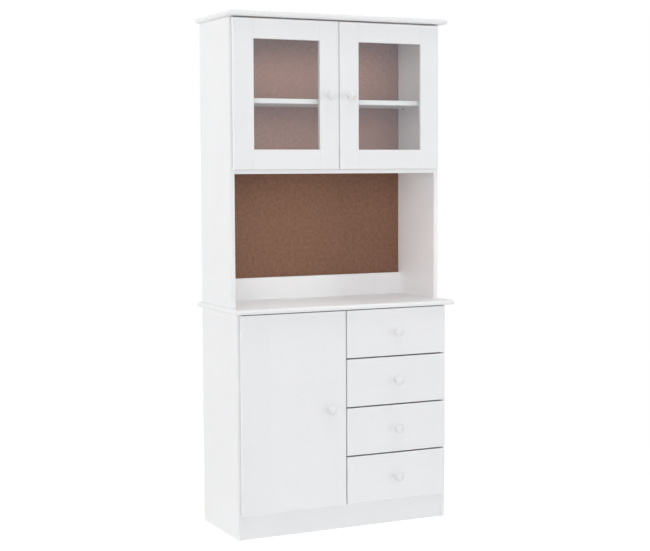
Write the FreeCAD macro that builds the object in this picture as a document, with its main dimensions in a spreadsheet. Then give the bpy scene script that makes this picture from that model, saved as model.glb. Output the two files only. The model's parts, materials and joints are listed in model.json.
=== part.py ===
import FreeCAD, Part
import os
import re

# Tall sideboard of painted pine: a closed base with one door and four drawers, an open niche above
# its counter, and a glazed two-door hutch under a crown board. Every board, rail, hinge and knob is
# a piece of its own. Lengths are in millimetres.
# Frame: the origin lies on the floor under the middle of the outer box, +X points to the right of
# someone who faces the front, +Y to the rear and +Z up.

SIZES = {
    # Boards and the outer case
    "board": 16,
    "carcass_width": 766,
    "base_depth": 310,
    "base_side_height": 736,
    "hutch_depth": 262,
    "niche_height": 431,
    "plinth_height": 80,
    "plinth_set_back": 2,
    "rail_height": 75,
    "counter_side_overhang": 17,
    "counter_front_overhang": 23.5,
    "crown_side_overhang": 15,
    "crown_front_overhang": 25,
    "edge_round": 7,
    "edge_limit_share": 0.45,
    "corner_round": 6,
    "board_round": 2,
    # Hardboard backs in rabbets
    "back_thick": 4,
    "back_inset": 3,
    "rabbet_width": 8,
    "back_fit": 0.5,
    "nail_radius": 0.9,
    "nail_length": 18,
    "nail_head_radius": 2.5,
    "nail_head_thick": 0.8,
    # Shelves on pins
    "hutch_shelf_rise": 212,
    "hutch_shelf_set_back": 12,
    "base_shelf_rise": 300,
    "base_shelf_set_back": 40,
    "shelf_end_gap": 0.5,
    "shelf_rear_gap": 1,
    "shelf_pin_radius": 2.5,
    "shelf_pin_length": 16,
    "shelf_pin_inset": 40,
    # Dowels
    "dowel_radius": 4,
    "dowel_face_depth": 10,
    "dowel_edge_depth": 20,
    "dowel_end_gap": 0.5,
    "pin_hole_fit": 0.05,
    # Lay-on fronts
    "front_thick": 15,
    "front_gap": 1.5,
    "front_set_in": 8,
    "front_reveal": 4,
    "front_round": 3,
    "drawer_count": 4,
    # Glazed doors
    "glazed_door_height": 484,
    "glazed_door_top_gap": 3.5,
    "hutch_floor_lap": 2.5,
    "glazed_door_middle_gap": 2.5,
    "frame_arris": 0.8,
    "stile_width": 70,
    "rail_width": 65,
    "tenon_length": 22,
    "tenon_thick": 5,
    "tenon_shoulder": 10,
    "tenon_fit": 0.1,
    "rebate_width": 8,
    "rebate_depth": 9,
    "glass_thick": 4,
    "glass_edge_gap": 1,
    # Knobs
    "knob_length": 28,
    "knob_radius": 15,
    "knob_head_length": 20,
    "knob_neck_radius": 7,
    "knob_foot_radius": 9.5,
    "knob_foot_length": 7,
    "knob_tenon_radius": 4,
    "knob_tenon_length": 10,
    "lower_knob_inset": 58,
    # Drawer boxes and runners
    "drawer_side_thick": 12,
    "drawer_side_height": 112,
    "drawer_side_length": 282,
    "drawer_side_gap": 1.5,
    "drawer_rise": 19,
    "drawer_bottom_thick": 4,
    "drawer_bottom_rise": 8,
    "drawer_groove_depth": 5,
    "drawer_groove_fit": 0.2,
    "runner_height": 12,
    "runner_width": 7,
    "runner_rise": 50,
    "runner_set_back": 8,
    "runner_end_gap": 0.5,
    "runner_fit": 0.3,
    "runner_rear_gap": 6,
    # Cup hinges with one pin each
    "hinge_inset": 90,
    "cup_radius": 17.5,
    "cup_edge_gap": 3.5,
    "cup_floor": 2.7,
    "cup_wall": 0.6,
    "cup_fit": 0.1,
    "cup_plate_thick": 1,
    "cup_plate_height": 62,
    "cup_plate_width": 14,
    "hinge_pin_radius": 1.25,
    "hinge_pin_inset": 7,
    "hinge_pin_fit": 0.05,
    "knuckle_radius": 2.2,
    "knuckle_length": 6,
    "knuckle_gap": 0.4,
    "lug_thick": 2.5,
    "lug_back": 2,
    "lug_front": 3.5,
    "lug_rise": 2.5,
    "foot_rise": 0.4,
    "leg_gap": 1.2,
    "leg_thick": 2.5,
    "arm_height": 10,
    "arm_length": 38,
    "arm_set_back": 4,
    "arm_plate_thick": 2,
    "arm_plate_height": 30,
    "screw_radius": 1.6,
    "screw_length": 11,
    "screw_head_radius": 3.4,
    "screw_head_thick": 1.4,
    "screw_row_inset": 4.5,
}

# Planes and spaces that several pieces share, each worked out from the sizes above
PLACES = {
    "rear": "(base_depth + front_gap + front_thick + knob_length) / 2",
    "half_width": "carcass_width / 2",
    "inner": "half_width - board",
    "base_front": "rear - base_depth",
    "hutch_front": "rear - hutch_depth",
    "back_face": "rear - back_inset - back_thick",
    "back_half": "inner + rabbet_width - back_fit",
    "back_rear": "rear - back_inset",
    "nail_out": "inner + rabbet_width / 2",
    "rabbet_depth": "back_inset + back_thick",
    "counter_under": "base_side_height",
    "counter_top": "counter_under + board",
    "niche_roof": "counter_top + niche_height",
    "hutch_floor_top": "niche_roof + board",
    "bottom_top": "plinth_height + board",
    "front_edge": "half_width - front_set_in",
    "base_fronts_back": "base_front - front_gap",
    "base_fronts_face": "base_fronts_back - front_thick",
    "hutch_doors_back": "hutch_front - front_gap",
    "hutch_doors_face": "hutch_doors_back - front_thick",
    "fronts_top": "counter_under - front_reveal / 2",
    "drawer_pitch": "(fronts_top - plinth_height) / drawer_count",
    "front_height": "drawer_pitch - front_reveal",
    "lower_door_foot": "plinth_height + front_reveal / 2",
    "lower_door_height": "fronts_top - front_reveal / 2 - lower_door_foot",
    "glazed_door_foot": "hutch_floor_top - hutch_floor_lap",
    "glazed_door_head": "glazed_door_foot + glazed_door_height",
    "crown_under": "glazed_door_head + glazed_door_top_gap",
    "hutch_side_height": "crown_under - counter_top",
    "base_shelf_under": "bottom_top + base_shelf_rise",
    "hutch_shelf_under": "hutch_floor_top + hutch_shelf_rise",
    "cup_depth": "front_thick - cup_floor - cup_fit",
    "pin_deep": "cup_depth - cup_wall - knuckle_gap - knuckle_radius",
    "pin_half": "knuckle_length / 2 + knuckle_gap + lug_thick",
    "cup_centre": "cup_edge_gap + cup_radius",
    "leg_inner": "hinge_pin_inset + pin_deep + leg_gap",
    "leg_outer": "leg_inner + leg_thick",
    "drawer_space": "inner - board / 2",
    "runner_groove_depth": "runner_width - drawer_side_gap + runner_end_gap",
    "edge_round_here": "min(edge_round; board * edge_limit_share)",
    "dowel_length": "dowel_face_depth + dowel_edge_depth",
    "dowel_hole_radius": "dowel_radius + pin_hole_fit",
    "dowel_hole_depth": "dowel_length + 2 * dowel_end_gap",
    "pin_out": "front_edge - hinge_pin_inset",
    "middle_edge": "glazed_door_middle_gap / 2",
    "tenon_height": "rail_width - rebate_width - 2 * tenon_shoulder",
    "rebate_near": "middle_edge + stile_width - rebate_width",
    "rebate_far": "front_edge - stile_width + rebate_width",
    "rebate_foot": "glazed_door_foot + rail_width - rebate_width",
    "rebate_height": "glazed_door_height - 2 * (rail_width - rebate_width)",
    "glass_front": "hutch_doors_back - rebate_depth",
    "drawer_middle": "board / 2 + drawer_space / 2",
}

# Shares of a board's depth at which its dowels stand
HUTCH_DOWEL_SHARES = (0.2, 0.8)
BASE_DOWEL_SHARES = (0.2, 0.7)

# Shares of a row's length at which the nails of a back stand
NAIL_SHARES = (0.06, 0.28, 0.5, 0.72, 0.94)

# Directions that a cylinder's own axis is turned to
UPWARD = FreeCAD.Rotation()
FORWARD = FreeCAD.Rotation(FreeCAD.Vector(1, 0, 0), 90)
RIGHTWARD = FreeCAD.Rotation(FreeCAD.Vector(0, 1, 0), 90)

# Two vertices closer than this lie in the same plane
SAME_PLANE = 1e-4

OPPOSITE = {"left": "right", "right": "left", "under": "top", "top": "under"}

BOX_SIDES = {
    "left": ("x", "XMin"),
    "right": ("x", "XMax"),
    "front": ("y", "YMin"),
    "rear": ("y", "YMax"),
    "under": ("z", "ZMin"),
    "top": ("z", "ZMax"),
}

doc = FreeCAD.newDocument("TallSideboard")
nodes = []
dowels = []
nails = []
arms = []
screws = []


def make_sheet():
    """The driving dimensions, one named cell each."""
    sheet = doc.addObject("Spreadsheet::Sheet", "Sizes")
    for row, (name, value) in enumerate(SIZES.items(), start=1):
        sheet.set(f"A{row}", name)
        sheet.set(f"B{row}", str(value))
        sheet.setAlias(f"B{row}", name)
    doc.recompute()


def spelled(text):
    """The expression with each shared place written out in cells of the sheet."""
    def word(match):
        name = match.group()
        if name == "min":
            return name
        if name in PLACES:
            return f"({spelled(PLACES[name])})"
        return f"Sizes.{name}"
    return re.sub(r"[a-z][a-z_]+", word, text)


def bind(item, x, y, z, sizes):
    """Tie an object's place and sizes to the sheet."""
    for axis, text in zip("xyz", (x, y, z)):
        item.setExpression(f"Placement.Base.{axis}", spelled(text))
    for name, text in sizes.items():
        item.setExpression(name, spelled(text))


def mirrored(hand, near, far):
    """Start and length of a span from near to far, counted to the right, or to the left if hand is -1."""
    start = near if hand > 0 else f"-({far})"
    return start, f"({far}) - ({near})"


def signed(hand, text):
    """The same distance to the right, or to the left if hand is -1."""
    return text if hand > 0 else f"-({text})"


class Piece:
    """One body placed at a corner of its own; its features take places in the whole object's frame."""

    def __init__(self, label, x, y, z):
        self.body = doc.addObject("PartDesign::Body", label)
        self.body.Label = label
        self.corner = (x, y, z)
        bind(self.body, x, y, z, {})

    def feature(self, kind, place, turn, sizes):
        item = self.body.newObject(f"PartDesign::{kind}", f"{self.body.Label}_{kind}")
        item.Placement = FreeCAD.Placement(FreeCAD.Vector(), turn)
        local = [f"({whole}) - ({own})" for whole, own in zip(place, self.corner)]
        bind(item, *local, sizes)
        return item

    def block(self, x, y, z, length, width, height):
        sizes = {"Length": length, "Width": width, "Height": height}
        self.feature("AdditiveBox", (x, y, z), UPWARD, sizes)

    def cut(self, x, y, z, length, width, height):
        sizes = {"Length": length, "Width": width, "Height": height}
        self.feature("SubtractiveBox", (x, y, z), UPWARD, sizes)

    def rod(self, x, y, z, turn, radius, reach):
        self.feature("AdditiveCylinder", (x, y, z), turn, {"Radius": radius, "Height": reach})

    def bore(self, x, y, z, turn, radius, reach):
        self.feature("SubtractiveCylinder", (x, y, z), turn, {"Radius": radius, "Height": reach})

    def edges(self, *sides):
        """Names of the edges that lie in every one of the named sides of the piece's box."""
        doc.recompute()
        shape = self.body.Tip.Shape

        def lies_on(edge, side):
            axis, limit = BOX_SIDES[side]
            plane = getattr(shape.BoundBox, limit)
            return all(abs(getattr(v.Point, axis) - plane) < SAME_PLANE for v in edge.Vertexes)

        numbered = enumerate(shape.Edges, start=1)
        return [f"Edge{number}" for number, edge in numbered if all(lies_on(edge, side) for side in sides)]

    def soften(self, radius, edges):
        """Round the named edges."""
        base = self.body.Tip
        fillet = self.body.newObject("PartDesign::Fillet", f"{self.body.Label}_Fillet")
        fillet.Base = (base, edges)
        fillet.setExpression("Radius", spelled(radius))
        self.body.Tip = fillet


def board(label, x, y, z, length, width, height):
    """A plain squared board with its lower left front corner at the given place."""
    piece = Piece(label, x, y, z)
    piece.block(x, y, z, length, width, height)
    nodes.append(piece.body)
    return piece


def loose_box(name, x, y, z, length, width, height):
    """One squared member of a group of like pieces."""
    item = doc.addObject("Part::Box", name)
    bind(item, x, y, z, {"Length": length, "Width": width, "Height": height})
    return item


def loose_rod(name, x, y, z, turn, radius, reach):
    """One round member of a group of like pieces."""
    item = doc.addObject("Part::Cylinder", name)
    item.Placement = FreeCAD.Placement(FreeCAD.Vector(), turn)
    bind(item, x, y, z, {"Radius": radius, "Height": reach})
    return item


def group(label, members):
    """Like pieces that stay separate solids under one name."""
    item = doc.addObject("Part::Compound", label)
    item.Label = label
    item.Links = members
    nodes.append(item)


# Carcass

def side_panels(stage, front, depth, foot, height):
    """Left and right side boards with a rabbet for the back along the inner rear edge."""
    panels = {}
    for hand, side in ((-1, "left"), (1, "right")):
        x, thick = mirrored(hand, "inner", "half_width")
        panel = board(f"{stage}_side_{side}", x, front, foot, thick, depth, height)
        panel.soften("board_round", panel.edges("front", "left") + panel.edges("front", "right"))
        x, wide = mirrored(hand, "inner", "inner + rabbet_width")
        panel.cut(x, "back_face", foot, wide, "rabbet_depth", height)
        panels[hand] = panel
    return panels


def overhanging_top(label, front, z, side_overhang):
    """Crown or counter: soft front corners and rounded edges, but a square rear edge."""
    half = f"half_width + {side_overhang}"
    top = board(label, f"-({half})", front, z, f"2 * ({half})", f"rear - ({front})", "board")
    top.soften("corner_round", top.edges("front", "left") + top.edges("front", "right"))
    rims = []
    for face in ("under", "top"):
        rear = top.edges(face, "rear")
        rims += [edge for edge in top.edges(face) if edge not in rear]
    top.soften("edge_round_here", rims)
    return top


def back_panel(label, foot, height):
    """Hardboard back that lies in the side boards' rabbets."""
    return board(label, "-(back_half)", "back_face", foot, "2 * back_half", "back_thick", height)


def drive_nail(back, wood, x, z):
    """One nail through a back into the board that carries it, with its hole in both."""
    reach = "nail_length - back_thick + dowel_end_gap"
    back.bore(x, "back_rear", z, FORWARD, "nail_radius + pin_hole_fit", "back_thick")
    wood.bore(x, "back_face", z, FORWARD, "nail_radius + pin_hole_fit", reach)
    nail = Piece("nail", x, "back_rear", z)
    nail.rod(x, "back_rear", z, FORWARD, "nail_radius", "nail_length")
    nail.rod(x, "back_rear + nail_head_thick", z, FORWARD, "nail_head_radius", "nail_head_thick")
    nails.append(nail.body)


def nail_upright_row(back, wood, x, foot, head):
    """A row of nails up the rear edge of an upright board."""
    for share in NAIL_SHARES:
        drive_nail(back, wood, x, f"{foot} + ({head} - ({foot})) * {share}")


def nail_level_row(back, wood, z):
    """A row of nails along the rear edge of a board that lies between the sides."""
    for share in NAIL_SHARES:
        drive_nail(back, wood, f"inner * (2 * {share} - 1)", z)


def upright_dowel(pieces, x, y, foot):
    """One standing dowel across a joint, with its hole in both boards."""
    for piece in pieces:
        piece.bore(x, y, f"{foot} - dowel_end_gap", UPWARD, "dowel_hole_radius", "dowel_hole_depth")
    return loose_rod("dowel", x, y, foot, UPWARD, "dowel_radius", "dowel_length")


def level_dowel(pieces, hand, y, z):
    """One lying dowel between a side board and what stands between the sides."""
    x, length = mirrored(hand, "inner - dowel_edge_depth", "inner + dowel_face_depth")
    for piece in pieces:
        piece.bore(f"{x} - dowel_end_gap", y, z, RIGHTWARD, "dowel_hole_radius", "dowel_hole_depth")
    return loose_rod("dowel", x, y, z, RIGHTWARD, "dowel_radius", length)


def make_base():
    """Closed lower case: sides, bottom, plinth, divider, back and the counter board."""
    sides = side_panels("base", "base_front", "base_depth", "0", "base_side_height")
    depth = "base_depth - rabbet_depth"
    bottom = board("base_bottom", "-(inner)", "base_front", "plinth_height", "2 * inner", depth, "board")
    plinth_front = "base_front + plinth_set_back"
    plinth = board("base_plinth", "-(inner)", plinth_front, "0", "2 * inner", "board", "plinth_height")
    rise = "counter_under - bottom_top"
    divider = board("base_divider", "-board / 2", "base_front", "bottom_top", "board", depth, rise)
    back = back_panel("base_back", "plinth_height", "counter_under - plinth_height")
    counter_front = "base_fronts_face - counter_front_overhang"
    counter = overhanging_top("counter_board", counter_front, "counter_under", "counter_side_overhang")
    for share in BASE_DOWEL_SHARES:
        y = f"base_front + base_depth * {share}"
        for hand, side in sides.items():
            middle = signed(hand, "half_width - board / 2")
            dowels.append(upright_dowel((side, counter), middle, y, "counter_under - dowel_edge_depth"))
            dowels.append(level_dowel((side, bottom), hand, y, "plinth_height + board / 2"))
        dowels.append(upright_dowel((divider, counter), "0", y, "counter_under - dowel_edge_depth"))
        dowels.append(upright_dowel((divider, bottom), "0", y, "bottom_top - dowel_face_depth"))
    for hand, side in sides.items():
        y = f"{plinth_front} + board / 2"
        dowels.append(level_dowel((side, plinth), hand, y, "plinth_height / 2"))
        nail_upright_row(back, side, signed(hand, "nail_out"), "plinth_height", "counter_under")
    nail_upright_row(back, divider, "0", "bottom_top", "counter_under")
    nail_level_row(back, bottom, "plinth_height + board / 2")
    return sides, divider, counter


def make_hutch(counter):
    """Upper case on the counter: sides, floor over the niche, niche rail, back and crown board."""
    sides = side_panels("hutch", "hutch_front", "hutch_depth", "counter_top", "hutch_side_height")
    depth = "hutch_depth - rabbet_depth"
    floor = board("hutch_floor", "-(inner)", "hutch_front", "niche_roof", "2 * inner", depth, "board")
    floor.soften("board_round", floor.edges("front", "under"))
    rail_front = "back_face - board"
    rail = board("niche_rail", "-(inner)", rail_front, "counter_top", "2 * inner", "board", "rail_height")
    rail.soften("board_round", rail.edges("front", "top"))
    back = back_panel("hutch_back", "counter_top", "hutch_side_height")
    crown_front = "hutch_doors_face - crown_front_overhang"
    crown = overhanging_top("crown_board", crown_front, "crown_under", "crown_side_overhang")
    rail_middle = "counter_top + rail_height / 2"
    for hand, side in sides.items():
        middle = signed(hand, "half_width - board / 2")
        for share in HUTCH_DOWEL_SHARES:
            y = f"hutch_front + hutch_depth * {share}"
            dowels.append(upright_dowel((side, crown), middle, y, "crown_under - dowel_edge_depth"))
            dowels.append(upright_dowel((side, counter), middle, y, "counter_top - dowel_face_depth"))
            dowels.append(level_dowel((side, floor), hand, y, "niche_roof + board / 2"))
        dowels.append(level_dowel((side, rail), hand, "back_face - board / 2", rail_middle))
        nail_upright_row(back, side, signed(hand, "nail_out"), "counter_top", "crown_under")
    nail_level_row(back, floor, "niche_roof + board / 2")
    nail_level_row(back, rail, rail_middle)
    return sides


def make_shelf(label, left, right, front, under, holders):
    """A loose shelf on four pins; holders are the left and right boards that carry the pins."""
    width = f"({right}) - ({left}) - 2 * shelf_end_gap"
    rear = "back_face - shelf_rear_gap"
    shelf = board(label, f"{left} + shelf_end_gap", front, under, width, f"{rear} - ({front})", "board")
    shelf.soften("board_round", shelf.edges("front", "top") + shelf.edges("front", "under"))
    pins = []
    for holder, wall in zip(holders, (left, right)):
        for y in (f"{front} + shelf_pin_inset", f"{rear} - shelf_pin_inset"):
            x = f"{wall} - shelf_pin_length / 2"
            z = f"{under} - shelf_pin_radius"
            holder.bore(f"{x} - dowel_end_gap", y, z, RIGHTWARD, "shelf_pin_radius + pin_hole_fit",
                        "shelf_pin_length + 2 * dowel_end_gap")
            pins.append(loose_rod("shelf_pin", x, y, z, RIGHTWARD, "shelf_pin_radius", "shelf_pin_length"))
    return pins


# Knobs and hinges

def make_knob(label, front, x, face, z):
    """A turned knob whose tenon sits in a blind hole of the front that carries it."""
    hole = f"{face} + knob_tenon_length + dowel_end_gap"
    front.bore(x, hole, z, FORWARD, "knob_tenon_radius + pin_hole_fit", "knob_tenon_length + dowel_end_gap")
    knob = Piece(label, x, face, z)
    knob.rod(x, f"{face} + knob_tenon_length", z, FORWARD, "knob_tenon_radius", "knob_tenon_length")
    cone = {"Radius1": "knob_foot_radius", "Radius2": "knob_neck_radius", "Height": "knob_foot_length"}
    knob.feature("AdditiveCone", (x, face, z), FORWARD, cone)
    head_middle = "knob_length - knob_head_length / 2"
    knob.rod(x, face, z, FORWARD, "knob_neck_radius", head_middle)
    head = {"Radius1": "knob_head_length / 2", "Radius2": "knob_radius", "Radius3": "knob_radius"}
    knob.feature("AdditiveEllipsoid", (x, f"{face} - ({head_middle})", z), FORWARD, head)
    nodes.append(knob.body)


def hinge_arm(hand, panel_front, pin_x, pin_y, z):
    """Fixed half of a hinge: plate and bar on the side board, leg and foot out to the knuckle."""
    arm = Piece("hinge_arm", pin_x, pin_y, z)
    start = f"{panel_front} + arm_set_back"
    knuckle_foot = f"{z} - knuckle_length / 2"
    arm.rod(pin_x, pin_y, knuckle_foot, UPWARD, "knuckle_radius", "knuckle_length")
    x, length = mirrored(hand, "front_edge - leg_outer", "pin_out")
    front = f"{pin_y} - knuckle_radius"
    arm.block(x, front, knuckle_foot, length, "knuckle_radius + foot_rise", "knuckle_length")
    x, length = mirrored(hand, "front_edge - leg_outer", "front_edge - leg_inner")
    arm.block(x, front, knuckle_foot, length, f"{start} - ({front})", "knuckle_length")
    x, length = mirrored(hand, "front_edge - leg_outer", "inner - arm_plate_thick")
    arm.block(x, start, f"{z} - arm_height / 2", length, "arm_length", "arm_height")
    x, length = mirrored(hand, "inner - arm_plate_thick", "inner")
    arm.block(x, start, f"{z} - arm_plate_height / 2", length, "arm_length", "arm_plate_height")
    arm.bore(pin_x, pin_y, knuckle_foot, UPWARD, "hinge_pin_radius + hinge_pin_fit", "knuckle_length")
    return arm


def hinge_screws(hand, arm, panel, y, z):
    """Two screws that hold an arm's plate to the side board, above and below the bar."""
    made = []
    for way in ("+", "-"):
        height = f"{z} {way} (arm_plate_height / 2 - screw_row_inset)"
        seat = "inner - arm_plate_thick"
        x, length = mirrored(hand, seat, f"{seat} + screw_length")
        for piece in (arm, panel):
            piece.bore(x, y, height, RIGHTWARD, "screw_radius + pin_hole_fit", length)
        screw = Piece("hinge_screw", x, y, height)
        screw.rod(x, y, height, RIGHTWARD, "screw_radius", length)
        x, length = mirrored(hand, f"{seat} - screw_head_thick", seat)
        screw.rod(x, y, height, RIGHTWARD, "screw_head_radius", length)
        made.append(screw.body)
    return made


def hinge_cup(hand, door_back, pin_x, pin_y, z):
    """Moving half of a hinge: a hollow cup with an eared plate and two lugs that hold the pin."""
    cup_x = signed(hand, "front_edge - cup_centre")
    cup = Piece("hinge_cup", cup_x, door_back, z)
    cup.rod(cup_x, door_back, z, FORWARD, "cup_radius", "cup_depth")
    x, length = mirrored(hand, "front_edge - cup_centre - cup_plate_width / 2",
                         "front_edge - cup_centre + cup_plate_width / 2")
    cup.block(x, door_back, f"{z} - cup_plate_height / 2", length, "cup_plate_thick", "cup_plate_height")
    cup.bore(cup_x, f"{door_back} + cup_plate_thick", z, FORWARD, "cup_radius - cup_wall",
             "cup_depth - cup_wall + cup_plate_thick")
    x, length = mirrored(hand, "pin_out - lug_front", "pin_out + lug_back")
    for foot in (f"{z} - pin_half", f"{z} + knuckle_length / 2 + knuckle_gap"):
        cup.block(x, f"{door_back} - cup_depth", foot, length, "cup_depth - pin_deep + lug_rise", "lug_thick")
    cup.bore(pin_x, pin_y, f"{z} - pin_half", UPWARD, "hinge_pin_radius + hinge_pin_fit", "2 * pin_half")
    return cup.body


def hang_door(label, hand, door, panel, panel_front, heights):
    """Two cup hinges between a door's outer edge and its side board."""
    door_back = f"{panel_front} - front_gap"
    pin_x = signed(hand, "pin_out")
    pin_y = f"{door_back} - pin_deep"
    moving = []
    for z in heights:
        arm = hinge_arm(hand, panel_front, pin_x, pin_y, z)
        screws.extend(hinge_screws(hand, arm, panel, f"{panel_front} + arm_set_back + arm_length / 2", z))
        arms.append(arm.body)
        door.bore(signed(hand, "front_edge - cup_centre"), door_back, z, FORWARD,
                  "cup_radius + cup_fit", "cup_depth + cup_fit")
        moving.append(hinge_cup(hand, door_back, pin_x, pin_y, z))
        moving.append(loose_rod("hinge_pin", pin_x, pin_y, f"{z} - pin_half", UPWARD,
                                "hinge_pin_radius", "2 * pin_half"))
    group(f"{label}_hinges", moving)


# Doors

def make_lower_door(panel):
    """Plain lay-on door at the left of the base, hung on the left side board."""
    width = "front_edge - front_reveal / 2"
    door = board("lower_door_panel", "-(front_edge)", "base_fronts_face", "lower_door_foot",
                 width, "front_thick", "lower_door_height")
    door.soften("front_round", door.edges())
    knob_x = "-(front_reveal / 2 + lower_knob_inset)"
    middle = "lower_door_foot + lower_door_height / 2"
    make_knob("lower_door_knob", door, knob_x, "base_fronts_face", middle)
    heights = ("lower_door_foot + hinge_inset", "lower_door_foot + lower_door_height - hinge_inset")
    hang_door("lower_door", -1, door, panel, "base_front", heights)


def glazed_frame(label, hand):
    """Stiles and rails of a glazed door, with tenons on the rails and a rebate for the glass."""
    outer = {-1: "left", 1: "right"}[hand]
    tall = "glazed_door_height"
    pieces = {}
    stile_spans = {
        "hinge_stile": (outer, "front_edge - stile_width", "front_edge"),
        "meeting_stile": (OPPOSITE[outer], "middle_edge", "middle_edge + stile_width"),
    }
    for name, (side, near, far) in stile_spans.items():
        x, width = mirrored(hand, near, far)
        stile = board(f"{label}_{name}", x, "hutch_doors_face", "glazed_door_foot",
                      width, "front_thick", tall)
        soft = [edge for other in ("front", "rear") for edge in stile.edges(side, other)]
        stile.soften("front_round", soft + stile.edges("front", "top") + stile.edges("front", "under"))
        stile.soften("frame_arris", stile.edges("front", OPPOSITE[side]))
        pieces[name] = stile
    x, width = mirrored(hand, "middle_edge + stile_width", "front_edge - stile_width")
    tenon_x, tenon_reach = mirrored(hand, "middle_edge + stile_width - tenon_length",
                                    "front_edge - stile_width + tenon_length")
    tenon_front = "hutch_doors_face + (front_thick - tenon_thick) / 2"
    rail_feet = {
        "bottom_rail": ("under", "glazed_door_foot", "glazed_door_foot + tenon_shoulder"),
        "top_rail": ("top", "glazed_door_head - rail_width",
                     "glazed_door_head - tenon_shoulder - tenon_height"),
    }
    for name, (side, foot, tenon_foot) in rail_feet.items():
        rail = board(f"{label}_{name}", x, "hutch_doors_face", foot, width, "front_thick", "rail_width")
        rail.soften("front_round", rail.edges("front", side))
        ends = rail.edges("front", "left") + rail.edges("front", "right")
        rail.soften("frame_arris", ends + rail.edges("front", OPPOSITE[side]))
        rail.block(tenon_x, tenon_front, tenon_foot, tenon_reach, "tenon_thick", "tenon_height")
        for stile in ("hinge_stile", "meeting_stile"):
            pieces[stile].cut(f"{tenon_x} - tenon_fit", f"{tenon_front} - tenon_fit",
                              f"{tenon_foot} - tenon_fit", f"{tenon_reach} + 2 * tenon_fit",
                              "tenon_thick + 2 * tenon_fit", "tenon_height + 2 * tenon_fit")
        pieces[name] = rail
    rebate_x, rebate_length = mirrored(hand, "rebate_near", "rebate_far")
    for piece in pieces.values():
        piece.cut(rebate_x, "glass_front", "rebate_foot", rebate_length, "rebate_depth", "rebate_height")
    return pieces


def glaze(label, hand):
    """Pane in the rebate and the four beads that hold it from behind."""
    x, length = mirrored(hand, "rebate_near + glass_edge_gap", "rebate_far - glass_edge_gap")
    board(f"{label}_glass", x, "glass_front", "rebate_foot + glass_edge_gap", length, "glass_thick",
          "rebate_height - 2 * glass_edge_gap")
    bead_front = "glass_front + glass_thick"
    thick = "rebate_depth - glass_thick"
    beads = []
    for near in ("rebate_near", "rebate_far - rebate_width"):
        x, width = mirrored(hand, near, f"{near} + rebate_width")
        beads.append(loose_box("bead", x, bead_front, "rebate_foot", width, thick, "rebate_height"))
    x, width = mirrored(hand, "rebate_near + rebate_width", "rebate_far - rebate_width")
    for foot in ("rebate_foot", "rebate_foot + rebate_height - rebate_width"):
        beads.append(loose_box("bead", x, bead_front, foot, width, thick, "rebate_width"))
    group(f"{label}_glass_beads", beads)


def make_glazed_door(label, hand, panel):
    """One framed glass door of the hutch, hung on the side board on its own hand."""
    pieces = glazed_frame(label, hand)
    glaze(label, hand)
    knob_x = signed(hand, "middle_edge + stile_width / 2")
    middle = "glazed_door_foot + glazed_door_height / 2"
    make_knob(f"{label}_knob", pieces["meeting_stile"], knob_x, "hutch_doors_face", middle)
    heights = ("glazed_door_foot + hinge_inset", "glazed_door_head - hinge_inset")
    hang_door(label, hand, pieces["hinge_stile"], panel, "hutch_front", heights)


# Drawers

def drawer_side(hand, foot, runner_foot):
    """A drawer's side board, grooved outside for its runner and inside for the bottom."""
    outer = "drawer_space / 2 - drawer_side_gap"
    near = f"{outer} - drawer_side_thick"
    x, width = mirrored(hand, near, outer)
    start = "base_fronts_back"
    side = Piece("drawer_side", f"drawer_middle + ({x})", start, foot)
    side.block(f"drawer_middle + ({x})", start, foot, width, "drawer_side_length", "drawer_side_height")
    x, width = mirrored(hand, f"{outer} - runner_groove_depth", outer)
    side.cut(f"drawer_middle + ({x})", start, f"{runner_foot} - runner_fit", width, "drawer_side_length",
             "runner_height + 2 * runner_fit")
    x, width = mirrored(hand, near, f"{near} + drawer_groove_depth")
    side.cut(f"drawer_middle + ({x})", start, f"{foot} + drawer_bottom_rise - drawer_groove_fit", width,
             "drawer_side_length", "drawer_bottom_thick + 2 * drawer_groove_fit")
    return side.body


def make_drawer(number):
    """Front, two sides, back and bottom of one drawer, counted from the top, and its two runners."""
    label = f"drawer_{number}"
    front_foot = f"fronts_top - drawer_pitch * {number} + front_reveal / 2"
    foot = f"{front_foot} + drawer_rise"
    runner_foot = f"{foot} + runner_rise"
    front = board(f"{label}_front", "front_reveal / 2", "base_fronts_face", front_foot,
                  "front_edge - front_reveal / 2", "front_thick", "front_height")
    front.soften("front_round", front.edges())
    group(f"{label}_sides", [drawer_side(hand, foot, runner_foot) for hand in (-1, 1)])
    half_inside = "drawer_space / 2 - drawer_side_gap - drawer_side_thick"
    left = f"drawer_middle - ({half_inside})"
    bottom_foot = f"{foot} + drawer_bottom_rise"
    back_foot = f"{bottom_foot} + drawer_bottom_thick"
    board(f"{label}_back", left, "base_fronts_back + drawer_side_length - drawer_side_thick", back_foot,
          f"2 * ({half_inside})", "drawer_side_thick", f"{foot} + drawer_side_height - ({back_foot})")
    tongue = "drawer_groove_depth - drawer_groove_fit"
    board(f"{label}_bottom", f"{left} - ({tongue})", f"base_fronts_back - ({tongue})", bottom_foot,
          f"2 * ({half_inside} + {tongue})", f"drawer_side_length + {tongue}", "drawer_bottom_thick")
    front.cut(f"{left} - drawer_groove_depth", "base_fronts_back - drawer_groove_depth",
              f"{bottom_foot} - drawer_groove_fit", f"2 * ({half_inside} + drawer_groove_depth)",
              "drawer_groove_depth", "drawer_bottom_thick + 2 * drawer_groove_fit")
    knob_x = "front_reveal / 2 + (front_edge - front_reveal / 2) / 2"
    make_knob(f"{label}_knob", front, knob_x, "base_fronts_face", f"{front_foot} + front_height / 2")
    runner_length = "base_depth - rabbet_depth - runner_set_back - runner_rear_gap"
    return [loose_box("runner", x, "base_front + runner_set_back", runner_foot, "runner_width", runner_length,
                      "runner_height") for x in ("board / 2", "inner - runner_width")]


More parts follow.
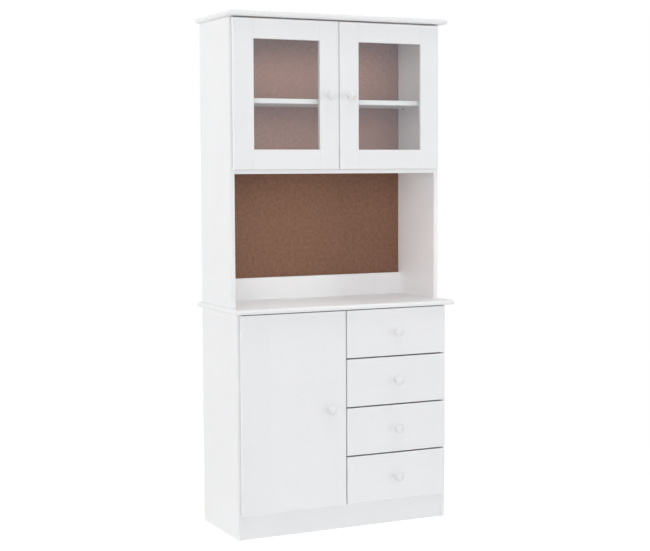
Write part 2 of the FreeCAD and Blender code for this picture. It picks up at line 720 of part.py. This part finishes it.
def write_parts():
    """Stop on any failed object, then write each sub-part's shape."""
    doc.recompute()
    for item in doc.Objects:
        failed = [state for state in item.State if state in ("Invalid", "Error")]
        if failed:
            raise RuntimeError(f"{item.Label}: {failed}")
    for item in nodes:
        if item.Shape.isNull() or not item.Shape.isValid():
            raise RuntimeError(f"{item.Label}: bad shape")
    os.makedirs("parts", exist_ok=True)
    for item in nodes:
        item.Shape.exportStep(f"parts/{item.Label}.step")


make_sheet()
base_sides, base_divider, counter_board = make_base()
hutch_sides = make_hutch(counter_board)
shelf_pins = make_shelf("base_shelf", "-(inner)", "-board / 2", "base_front + base_shelf_set_back",
                        "base_shelf_under", (base_sides[-1], base_divider))
shelf_pins += make_shelf("hutch_shelf", "-(inner)", "inner", "hutch_front + hutch_shelf_set_back",
                         "hutch_shelf_under", (hutch_sides[-1], hutch_sides[1]))
make_lower_door(base_sides[-1])
make_glazed_door("left_glazed_door", -1, hutch_sides[-1])
make_glazed_door("right_glazed_door", 1, hutch_sides[1])
runners = []
for drawer_number in range(1, SIZES["drawer_count"] + 1):
    runners += make_drawer(drawer_number)
group("drawer_runners", runners)
group("carcass_dowels", dowels)
group("back_nails", nails)
group("shelf_pins", shelf_pins)
group("hinge_arms", arms)
group("hinge_screws", screws)
write_parts()
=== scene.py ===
import json
import math

import bpy
from mathutils import Matrix, Vector


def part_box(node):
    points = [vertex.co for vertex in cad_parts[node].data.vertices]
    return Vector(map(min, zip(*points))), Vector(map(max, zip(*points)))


# Tall sideboard in white-painted pine: the finish of every piece, the studio light and the camera.
# Lengths are in metres, in the model's own frame: +Z up, +Y to the rear, +X to the right.
# A pattern's scale is in features per metre, and colours are linear red, green, blue and opacity.

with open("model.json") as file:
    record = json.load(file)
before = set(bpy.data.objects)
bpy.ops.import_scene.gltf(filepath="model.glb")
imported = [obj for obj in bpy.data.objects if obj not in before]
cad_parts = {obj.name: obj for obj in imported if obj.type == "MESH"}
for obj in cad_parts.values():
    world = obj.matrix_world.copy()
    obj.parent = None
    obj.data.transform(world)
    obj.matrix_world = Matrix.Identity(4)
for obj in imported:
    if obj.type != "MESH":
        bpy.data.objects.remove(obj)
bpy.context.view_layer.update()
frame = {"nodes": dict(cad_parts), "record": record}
nodes = frame["nodes"]
slots = {row["node"]: row["material_slot"] for row in frame["record"]["subparts"]}

# Camera, fitted to edges measured in the photograph
CAMERA_PLACE = Vector((-2.1012, -4.3761, 1.2030))
CAMERA_YAW = math.radians(25.574)
CAMERA_PITCH = math.radians(4.2955)
CAMERA_ROLL = math.radians(-0.2488)
CAMERA_LENS_MM = 79.64
SENSOR_MM = 36

# Lamps far from the object: where each shines from, how strong, how wide in degrees, and its tint
WIDE = 50
NARROW = 18
NEUTRAL = (1, 1, 0.995)
COOL = (0.97, 0.985, 1)
WARM = (1, 0.99, 0.985)
LAMPS = {
    "left_back_lamp": {"from": (-1, 0.55, 0.2), "strength": 1.31, "width": WIDE, "colour": NEUTRAL},
    "right_back_lamp": {"from": (1, 0.55, 0.2), "strength": 0.9, "width": WIDE, "colour": NEUTRAL},
    "front_left_lamp": {"from": (-0.8, -1, 0), "strength": 1.19, "width": WIDE, "colour": COOL},
    "front_lamp": {"from": (0, -1, 0.1), "strength": 0.24, "width": WIDE, "colour": COOL},
    "right_lamp": {"from": (1, -0.9, 0.1), "strength": 0.54, "width": NARROW, "colour": COOL},
    "top_lamp": {"from": (0, -0.3, 1), "strength": 1.06, "width": WIDE, "colour": WARM},
}

# Panels that stand for the light which the room throws into the hutch and the niche.
# They face the rear; in degrees, spread is the beam, tip is downwards and turn is to the right.
HUTCH_TINT = (1, 0.98, 1)
NICHE_TINT = (1, 0.95, 0.94)
NICHE_SIDE_TINT = (1, 0.76, 0.74)
PANELS = {
    "upper_hutch_panel": {
        "place": (0.015, -0.065, 1.54), "size": (0.61, 0.13), "power": 0.275, "spread": 68,
        "tip": 8, "turn": 0, "colour": HUTCH_TINT,
    },
    "lower_hutch_panel": {
        "place": (0.015, -0.074, 1.295), "size": (0.61, 0.14), "power": 0.22, "spread": 66,
        "tip": 0, "turn": 0, "colour": HUTCH_TINT,
    },
    "niche_panel": {
        "place": (-0.16, -0.13, 1), "size": (0.3, 0.18), "power": 0.22, "spread": 180,
        "tip": 48, "turn": 30, "colour": NICHE_TINT,
    },
    "niche_side_panel": {
        "place": (-0.35, -0.5, 0.97), "size": (0.22, 0.22), "power": 0.06, "spread": 44,
        "tip": 2, "turn": 56, "colour": NICHE_SIDE_TINT,
    },
}

# Surround and floor
WHITE = (1, 1, 1, 1)
DOME_FILL = 0.3
FLOOR_HALF = 14
FLOOR_COLOUR = (0.87, 0.87, 0.87, 1)
FLOOR_ROUGHNESS = 0.9
FLOOR_LIFT = 0.5
FLOOR_NEAR = 0.5
FLOOR_FAR = 1.5

# Paint
PAINT_LIGHT = (0.895, 0.898, 0.904, 1)
PAINT_SHADE = (0.86, 0.863, 0.87, 1)
PAINT_THIN = (0.755, 0.748, 0.742, 1)
# Near-black painted shade, laid on level faces in narrow gaps between parts
PAINT_GAP_SHADE = (0.045, 0.049, 0.058, 1)
PAINT_IOR = 1.48
PAINT_RELIEF = 0.00025
# Largest share of that painted shade in a gap
GAP_SHADE_MOST = 0.95
CREVICE_DEPTH = 0.012
STAVE_WIDTH = 0.092
EDGE_WIDTH = 0.0022

# Knobs, whose rings lie about the middle of the knob's own box, which is 1 wide
KNOB_LIGHT = (0.872, 0.875, 0.88, 1)
KNOB_SHADE = (0.837, 0.84, 0.845, 1)
KNOB_MIDDLE = (0.5, 0, 0.5)
KNOB_FACE = (1, 0, 1)
KNOB_RELIEF = 0.00015

# Hardboard
BOARD_LIGHT = (0.248, 0.124, 0.077, 1)
BOARD_DARK = (0.169, 0.08, 0.047, 1)
BOARD_FLECK = (0.315, 0.19, 0.122, 1)
BOARD_RELIEF = 0.0003
SCREEN_PITCH = 0.0024

# Unpainted woods
PINE_EARLY = (0.68, 0.47, 0.26, 1)
PINE_LATE = (0.46, 0.26, 0.11, 1)
PINE_KNOT = (0.24, 0.11, 0.045, 1)
PINE_RELIEF = 0.0002
KNOTS_PER_METRE = 9
KNOT_SHARE = 0.75
BEECH_LIGHT = (0.58, 0.36, 0.21, 1)
BEECH_DARK = (0.42, 0.23, 0.12, 1)
BEECH_RELIEF = 0.0002
WOOD_IOR = 1.45

# Metal and glass
NICKEL = (0.62, 0.615, 0.6, 1)
NICKEL_DULL = (0.46, 0.455, 0.45, 1)
NICKEL_EDGE_WIDTH = 0.0006
NICKEL_RUB = 0.6
NICKEL_RELIEF = 0.00004
GLASS_BODY = (0.975, 0.992, 0.985, 1)
GLASS_PASS = (0.985, 0.99, 0.988, 1)
GLASS_GLINT = (0.88, 0.87, 1, 1)
GLASS_IOR = 1.7

# Limits for finding edges and gaps: a cosine between normals, and a share of open sky
EDGE_FLAT = 0.99
EDGE_SHARP = 0.8
EDGE_SAMPLES = 6
GAP_OPEN = 0.32
GAP_NARROW = 0.08
GAP_SAMPLES = 8

# Sockets of the colour mixing node, by place
MIX_SHARE = 0
MIX_FIRST = 6
MIX_SECOND = 7
MIX_RESULT = 2

AXES = {"x": 0, "y": 1, "z": 2}
GRAINED_SLOTS = ("white_paint", "raw_pine")


class Finish:
    """One material's node tree, built around its Principled shader."""

    def __init__(self, name):
        self.material = bpy.data.materials.new(name)
        self.material.use_nodes = True
        self.tree = self.material.node_tree
        self.shader = self.tree.nodes["Principled BSDF"]

    def node(self, kind, inputs=None, **settings):
        """A new node of this kind, with its settings made and its inputs fed."""
        made = self.tree.nodes.new(kind)
        for name, value in settings.items():
            setattr(made, name, value)
        for key, value in (inputs or {}).items():
            self.feed(made.inputs[key], value)
        return made

    def feed(self, socket, value):
        """Link the socket to another node's output, or set it to a plain value."""
        if isinstance(value, bpy.types.NodeSocket):
            self.tree.links.new(value, socket)
        else:
            socket.default_value = value

    def shade(self, **sockets):
        """Feed the Principled shader; underscores in a name stand for spaces."""
        for name, value in sockets.items():
            self.feed(self.shader.inputs[name.replace("_", " ")], value)

    def surface(self, shader):
        """Make another shader's output the material's surface."""
        self.feed(self.tree.nodes["Material Output"].inputs["Surface"], shader)

    def place(self):
        """The point in the model's frame at rest."""
        return self.node("ShaderNodeTexCoord").outputs["Object"]

    def split(self, vector):
        """A vector's x, y and z."""
        return self.node("ShaderNodeSeparateXYZ", {0: vector}).outputs

    def facing(self):
        """The surface's direction in the model's frame at rest, split into x, y and z."""
        return self.split(self.node("ShaderNodeTexCoord").outputs["Normal"])

    def maths(self, operation, *values):
        return self.node("ShaderNodeMath", dict(enumerate(values)), operation=operation).outputs[0]

    def vector_maths(self, operation, *vectors):
        """Results of sums with vectors: a vector comes first, and a plain number is called Value."""
        return self.node("ShaderNodeVectorMath", dict(enumerate(vectors)), operation=operation).outputs

    def scaled(self, vector, factors):
        return self.vector_maths("MULTIPLY", vector, factors)[0]

    def length(self, vector):
        return self.vector_maths("LENGTH", vector)["Value"]

    def along(self, axis, stretch):
        """The point with its distances along one axis shortened, so that patterns run along it."""
        factors = [1, 1, 1]
        factors[AXES[axis]] = stretch
        return self.scaled(self.place(), factors)

    def noise(self, vector, scale, detail=3, rough=0.5):
        inputs = {"Vector": vector, "Scale": scale, "Detail": detail, "Roughness": rough}
        return self.node("ShaderNodeTexNoise", inputs).outputs[0]

    def blend(self, shares):
        """Sum of several patterns, each times its share."""
        total = 0.0
        for pattern, share in shares:
            total = self.maths("MULTIPLY_ADD", pattern, share, total)
        return total

    def spread(self, value, low, high, to_low=0.0, to_high=1.0):
        """The value carried from one range to another, and held inside it."""
        inputs = {"Value": value, "From Min": low, "From Max": high, "To Min": to_low, "To Max": to_high}
        return self.node("ShaderNodeMapRange", inputs).outputs[0]

    def mix(self, share, first, second):
        """The first colour, with this share of the second in its place."""
        inputs = {MIX_SHARE: share, MIX_FIRST: first, MIX_SECOND: second}
        return self.node("ShaderNodeMix", inputs, data_type="RGBA").outputs[MIX_RESULT]

    def edges(self, width):
        """Near 1 where two faces meet at an outer edge or corner, and 0 on the flats."""
        rounded = self.node("ShaderNodeBevel", {"Radius": width}, samples=EDGE_SAMPLES).outputs[0]
        normal = self.node("ShaderNodeNewGeometry").outputs["Normal"]
        cosine = self.vector_maths("DOT_PRODUCT", rounded, normal)["Value"]
        return self.spread(cosine, low=EDGE_FLAT, high=EDGE_SHARP)

    def crevices(self, depth):
        """Near 1 in narrow gaps and 0 on open faces and in plain corners."""
        opening = self.node("ShaderNodeAmbientOcclusion", {"Distance": depth}, samples=GAP_SAMPLES)
        return self.spread(opening.outputs["AO"], low=GAP_OPEN, high=GAP_NARROW)

    def bump(self, height, depth, strength=0.5):
        """Fine relief of this depth, from a pattern of heights."""
        inputs = {"Height": height, "Distance": depth, "Strength": strength}
        self.shade(Normal=self.node("ShaderNodeBump", inputs).outputs[0])


# Materials

def painted_gap_shade(finish):
    """Share of painted shade in narrow gaps between parts, on faces that lie level."""
    level = finish.maths("ABSOLUTE", finish.facing()[AXES["z"]])
    level_share = finish.spread(level, low=0.3, high=0.7, to_high=GAP_SHADE_MOST)
    return finish.maths("MULTIPLY", finish.crevices(CREVICE_DEPTH), level_share)


def stave_tone(finish, axis):
    """One random tone for each glued stave that runs along the axis."""
    across = finish.scaled(finish.along(axis, stretch=0), [1 / STAVE_WIDTH] * 3)
    stave_index = finish.vector_maths("FLOOR", across)[0]
    return finish.node("ShaderNodeTexWhiteNoise", {"Vector": stave_index}).outputs["Value"]


def paint(axis):
    """Satin white paint on glued pine staves, with faint grain and brush marks along the axis."""
    finish = Finish(f"white_paint_along_{axis}")
    grain = finish.noise(finish.along(axis, stretch=0.018), scale=620, detail=4, rough=0.6)
    brush = finish.noise(finish.along(axis, stretch=0.05), scale=210, detail=2)
    cloud = finish.noise(finish.place(), scale=7)
    peel = finish.noise(finish.place(), scale=1400, detail=1)
    tone = finish.blend([(grain, 0.44), (cloud, 0.42), (stave_tone(finish, axis), 0.14)])
    colour = finish.mix(finish.spread(tone, low=0.25, high=0.75), PAINT_SHADE, PAINT_LIGHT)
    worn = finish.spread(cloud, low=0.4, high=0.65, to_low=0.05, to_high=0.4)
    rubbed = finish.maths("MULTIPLY", finish.edges(EDGE_WIDTH), worn)
    sheen = finish.blend([(brush, 0.6), (cloud, 0.4)])
    finish.shade(
        # Painted shade darkens the paint in narrow gaps between parts, on level faces
        Base_Color=finish.mix(painted_gap_shade(finish), finish.mix(rubbed, colour, PAINT_THIN), PAINT_GAP_SHADE),
        Roughness=finish.spread(sheen, low=0.3, high=0.7, to_low=0.36, to_high=0.5),
        IOR=PAINT_IOR,
    )
    finish.bump(finish.blend([(grain, 0.55), (brush, 0.3), (peel, 0.15)]), PAINT_RELIEF)
    return finish.material


def lathe_rings(finish):
    """Fine rings about the axis of a turned knob."""
    own = finish.node("ShaderNodeTexCoord").outputs["Generated"]
    centred = finish.vector_maths("SUBTRACT", own, KNOB_MIDDLE)[0]
    radius = finish.length(finish.scaled(centred, KNOB_FACE))
    outwards = finish.node("ShaderNodeCombineXYZ", {0: radius}).outputs[0]
    return finish.noise(outwards, scale=46, detail=2)


def knob_paint():
    """White paint on a turned knob, with fine rings from the lathe about its own axis."""
    finish = Finish("white_knob_paint")
    rings = lathe_rings(finish)
    cloud = finish.noise(finish.place(), scale=90)
    tone = finish.blend([(rings, 0.4), (cloud, 0.6)])
    colour = finish.mix(finish.spread(tone, low=0.3, high=0.7), KNOB_SHADE, KNOB_LIGHT)
    handled = finish.noise(finish.place(), scale=160, detail=2)
    rubbed = finish.spread(handled, low=0.58, high=0.75, to_high=0.25)
    finish.shade(
        Base_Color=finish.mix(rubbed, colour, PAINT_THIN),
        Roughness=finish.spread(cloud, low=0.3, high=0.7, to_low=0.4, to_high=0.52),
        IOR=PAINT_IOR,
        Specular_IOR_Level=0.25,
    )
    finish.bump(finish.blend([(rings, 0.7), (cloud, 0.3)]), KNOB_RELIEF)
    return finish.material


def screen_marks(finish):
    """Print of the pressing screen, on faces that look to the rear or down."""
    turn = 2 * math.pi / SCREEN_PITCH
    sides = finish.split(finish.place())
    waves = [finish.maths("SINE", finish.maths("MULTIPLY", side, turn)) for side in sides]
    screen = finish.blend([(wave, 1.0) for wave in waves])
    towards = finish.facing()
    rear_or_under = finish.maths("SUBTRACT", towards[AXES["y"]], towards[AXES["z"]])
    return finish.maths("MULTIPLY", screen, finish.spread(rear_or_under, low=0.4, high=0.6))


def hardboard():
    """Brown pressed fibre board: clouded and flecked, smooth in front, screen-marked behind and under."""
    finish = Finish("brown_hardboard")
    cloud = finish.noise(finish.place(), scale=8)
    clump = finish.noise(finish.place(), scale=88, detail=2)
    fibre = finish.noise(finish.place(), scale=300, detail=4, rough=0.7)
    speck = finish.noise(finish.place(), scale=900, detail=2, rough=0.6)
    tone = finish.blend([(cloud, 0.1), (clump, 0.6), (fibre, 0.2), (speck, 0.1)])
    colour = finish.mix(finish.spread(tone, low=0.34, high=0.66), BOARD_DARK, BOARD_LIGHT)
    chips = finish.noise(finish.place(), scale=520, rough=0.7)
    fleck = finish.spread(chips, low=0.62, high=0.74, to_high=0.55)
    finish.shade(
        Base_Color=finish.mix(fleck, colour, BOARD_FLECK),
        Roughness=finish.spread(fibre, low=0.3, high=0.7, to_low=0.5, to_high=0.68),
        IOR=WOOD_IOR,
    )
    relief = finish.blend([(fibre, 0.5), (speck, 0.3), (screen_marks(finish), 0.35)])
    finish.bump(relief, BOARD_RELIEF, strength=0.6)
    return finish.material


def bare_pine(axis):
    """Sanded pine: growth lines and pores along the axis, with a few knots."""
    finish = Finish(f"bare_pine_along_{axis}")
    drift = finish.noise(finish.along(axis, stretch=0.25), scale=9, detail=2)
    lines = finish.noise(finish.along(axis, stretch=0.04), scale=130, rough=0.55)
    pores = finish.noise(finish.along(axis, stretch=0.03), scale=900, detail=2, rough=0.6)
    knot_place = {"Vector": finish.along(axis, stretch=0.6), "Scale": KNOTS_PER_METRE}
    knot_field = finish.node("ShaderNodeTexVoronoi", knot_place)
    knot = finish.spread(knot_field.outputs["Distance"], low=0.1, high=0.04)
    late = finish.spread(finish.blend([(lines, 0.75), (drift, 0.25)]), low=0.42, high=0.62)
    wood = finish.mix(late, PINE_EARLY, PINE_LATE)
    wood = finish.mix(finish.spread(pores, low=0.45, high=0.75, to_high=0.25), wood, PINE_LATE)
    finish.shade(
        Base_Color=finish.mix(finish.maths("MULTIPLY", knot, KNOT_SHARE), wood, PINE_KNOT),
        Roughness=finish.spread(lines, low=0.3, high=0.7, to_low=0.52, to_high=0.66),
        IOR=WOOD_IOR,
    )
    finish.bump(finish.blend([(lines, 0.6), (pores, 0.4)]), PINE_RELIEF)
    return finish.material


def beech():
    """Dowel beech: pale pink brown with short dark rays."""
    finish = Finish("beech_dowel")
    grain = finish.noise(finish.along("x", stretch=0.2), scale=420, detail=4, rough=0.6)
    rays = finish.noise(finish.place(), scale=1500, detail=2)
    tone = finish.blend([(grain, 0.7), (rays, 0.3)])
    finish.shade(
        Base_Color=finish.mix(finish.spread(tone, low=0.35, high=0.65), BEECH_DARK, BEECH_LIGHT),
        Roughness=finish.spread(grain, low=0.3, high=0.7, to_low=0.5, to_high=0.65),
    )
    finish.bump(grain, BEECH_RELIEF)
    return finish.material


def nickel():
    """Nickel-plated steel: rolled streaks, duller patches and rubbed edges."""
    finish = Finish("nickel_plate")
    streak = finish.noise(finish.along("y", stretch=0.06), scale=1300)
    patch = finish.noise(finish.place(), scale=55)
    dull = finish.spread(finish.blend([(streak, 0.5), (patch, 0.5)]), low=0.4, high=0.65)
    colour = finish.mix(dull, NICKEL, NICKEL_DULL)
    rubbed = finish.maths("MULTIPLY", finish.edges(NICKEL_EDGE_WIDTH), NICKEL_RUB)
    finish.shade(
        Base_Color=finish.mix(rubbed, colour, NICKEL),
        Metallic=1.0,
        Roughness=finish.spread(streak, low=0.3, high=0.7, to_low=0.2, to_high=0.38),
    )
    finish.bump(streak, NICKEL_RELIEF)
    return finish.material


def clear_glass():
    """Float glass that mirrors the studio and lets lamplight through to the shelf behind it."""
    finish = Finish("clear_float_glass")
    smear = finish.noise(finish.along("x", stretch=0.5), scale=14, detail=4, rough=0.6)
    finish.shade(
        Base_Color=GLASS_BODY,
        Roughness=finish.spread(smear, low=0.5, high=0.75, to_high=0.035),
        IOR=GLASS_IOR,
        Specular_Tint=GLASS_GLINT,
        Transmission_Weight=1.0,
    )
    path = finish.node("ShaderNodeLightPath").outputs
    lit = finish.maths("MAXIMUM", path["Is Shadow Ray"], path["Is Diffuse Ray"])
    passing = finish.node("ShaderNodeBsdfTransparent", {"Color": GLASS_PASS}).outputs[0]
    both = finish.node("ShaderNodeMixShader", {0: lit, 1: finish.shader.outputs[0], 2: passing})
    finish.surface(both.outputs[0])
    return finish.material


def grain_axis(name):
    """The axis that a board's grain runs along: its longest side, or a fixed one for grouped boards."""
    if name.endswith("_sides") or name.endswith("_runners"):
        return "y"
    if name.endswith("_beads"):
        return "z"
    low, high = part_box(name)
    sides = high - low
    return max(AXES, key=lambda axis: sides[AXES[axis]])


def finish_nodes():
    """Give every node of the model its finish, from its slot in the record and its grain."""
    made = {}
    kinds = {
        "white_paint": paint, "raw_pine": bare_pine, "white_knob": knob_paint, "hardboard": hardboard,
        "beech": beech, "steel": nickel, "clear_glass": clear_glass,
    }
    for name, node in nodes.items():
        slot = slots[name]
        key = (slot, grain_axis(name)) if slot in GRAINED_SLOTS else (slot,)
        if key not in made:
            made[key] = kinds[slot](*key[1:])
        node.data.materials.clear()
        node.data.materials.append(made[key])


# Studio

def seen_directly(tree):
    """1 for rays from the camera, from gloss and through glass, and 0 for light that falls on things."""
    path = tree.nodes.new("ShaderNodeLightPath").outputs
    total = path["Is Camera Ray"]
    for name in ("Is Glossy Ray", "Is Transmission Ray"):
        either = tree.nodes.new("ShaderNodeMath")
        either.operation = "MAXIMUM"
        tree.links.new(total, either.inputs[0])
        tree.links.new(path[name], either.inputs[1])
        total = either.outputs[0]
    return total


def make_dome():
    """White all round to the eye, and a plain even fill as light."""
    world = bpy.data.worlds.new("studio")
    bpy.context.scene.world = world
    world.use_nodes = True
    tree = world.node_tree
    strength = tree.nodes.new("ShaderNodeMapRange")
    tree.links.new(seen_directly(tree), strength.inputs["Value"])
    strength.inputs["To Min"].default_value = DOME_FILL
    background = tree.nodes["Background"]
    background.inputs["Color"].default_value = WHITE
    tree.links.new(strength.outputs[0], background.inputs["Strength"])


def make_lamps():
    """Lamps that light the surfaces; gloss and glass see the white studio instead."""
    for name, lamp in LAMPS.items():
        light = bpy.data.lights.new(name, "SUN")
        light.angle = math.radians(lamp["width"])
        light.energy = lamp["strength"]
        light.color = lamp["colour"]
        source = bpy.data.objects.new(name, light)
        source.rotation_mode = "QUATERNION"
        source.rotation_quaternion = Vector(lamp["from"]).to_track_quat("Z", "Y")
        source.visible_glossy = False
        source.visible_transmission = False
        bpy.context.scene.collection.objects.link(source)


def make_panels():
    """Unseen panels that face the rear, tipped and turned, and light the insides."""
    for name, panel in PANELS.items():
        light = bpy.data.lights.new(name, "AREA")
        light.shape = "RECTANGLE"
        light.size, light.size_y = panel["size"]
        light.energy = panel["power"]
        light.color = panel["colour"]
        light.spread = math.radians(panel["spread"])
        source = bpy.data.objects.new(name, light)
        source.location = panel["place"]
        tipped = math.pi / 2 - math.radians(panel["tip"])
        source.rotation_euler = (tipped, 0, -math.radians(panel["turn"]))
        for ray in ("camera", "glossy", "transmission"):
            setattr(source, f"visible_{ray}", False)
        bpy.context.scene.collection.objects.link(source)


def floor_finish():
    """Pale floor: lit and shadowed near the object, and white to the eye further out."""
    finish = Finish("pale_floor")
    finish.shade(Base_Color=FLOOR_COLOUR, Roughness=FLOOR_ROUGHNESS)
    seen = seen_directly(finish.tree)
    distance = finish.length(finish.place())
    far = finish.maths("MULTIPLY", finish.spread(distance, low=FLOOR_NEAR, high=FLOOR_FAR), seen)
    lift = finish.maths("MULTIPLY", seen, FLOOR_LIFT)
    glow = finish.node("ShaderNodeEmission", {"Strength": lift}).outputs[0]
    near = finish.node("ShaderNodeAddShader", {0: finish.shader.outputs[0], 1: glow}).outputs[0]
    white = finish.node("ShaderNodeEmission", {"Strength": 1.0}).outputs[0]
    both = finish.node("ShaderNodeMixShader", {0: far, 1: near, 2: white})
    finish.surface(both.outputs[0])
    return finish.material


def make_floor():
    """One wide flat floor at the sideboard's feet."""
    mesh = bpy.data.meshes.new("floor")
    corners = [(x * FLOOR_HALF, y * FLOOR_HALF, 0) for x, y in ((-1, -1), (1, -1), (1, 1), (-1, 1))]
    mesh.from_pydata(corners, [], [(0, 1, 2, 3)])
    mesh.materials.append(floor_finish())
    floor = bpy.data.objects.new("floor", mesh)
    bpy.context.scene.collection.objects.link(floor)


def make_camera():
    """A camera at the photograph's place and angle."""
    lens = bpy.data.cameras.new("camera")
    lens.sensor_width = SENSOR_MM
    lens.lens = CAMERA_LENS_MM
    camera = bpy.data.objects.new("camera", lens)
    turn = Matrix.Rotation(-CAMERA_YAW, 4, "Z") @ Matrix.Rotation(math.pi / 2 - CAMERA_PITCH, 4, "X")
    camera.matrix_world = Matrix.Translation(CAMERA_PLACE) @ turn @ Matrix.Rotation(CAMERA_ROLL, 4, "Z")
    bpy.context.scene.collection.objects.link(camera)
    bpy.context.scene.camera = camera


finish_nodes()
make_dome()
make_lamps()
make_panels()
make_floor()
make_camera()
bpy.context.scene.view_settings.view_transform = "Standard"
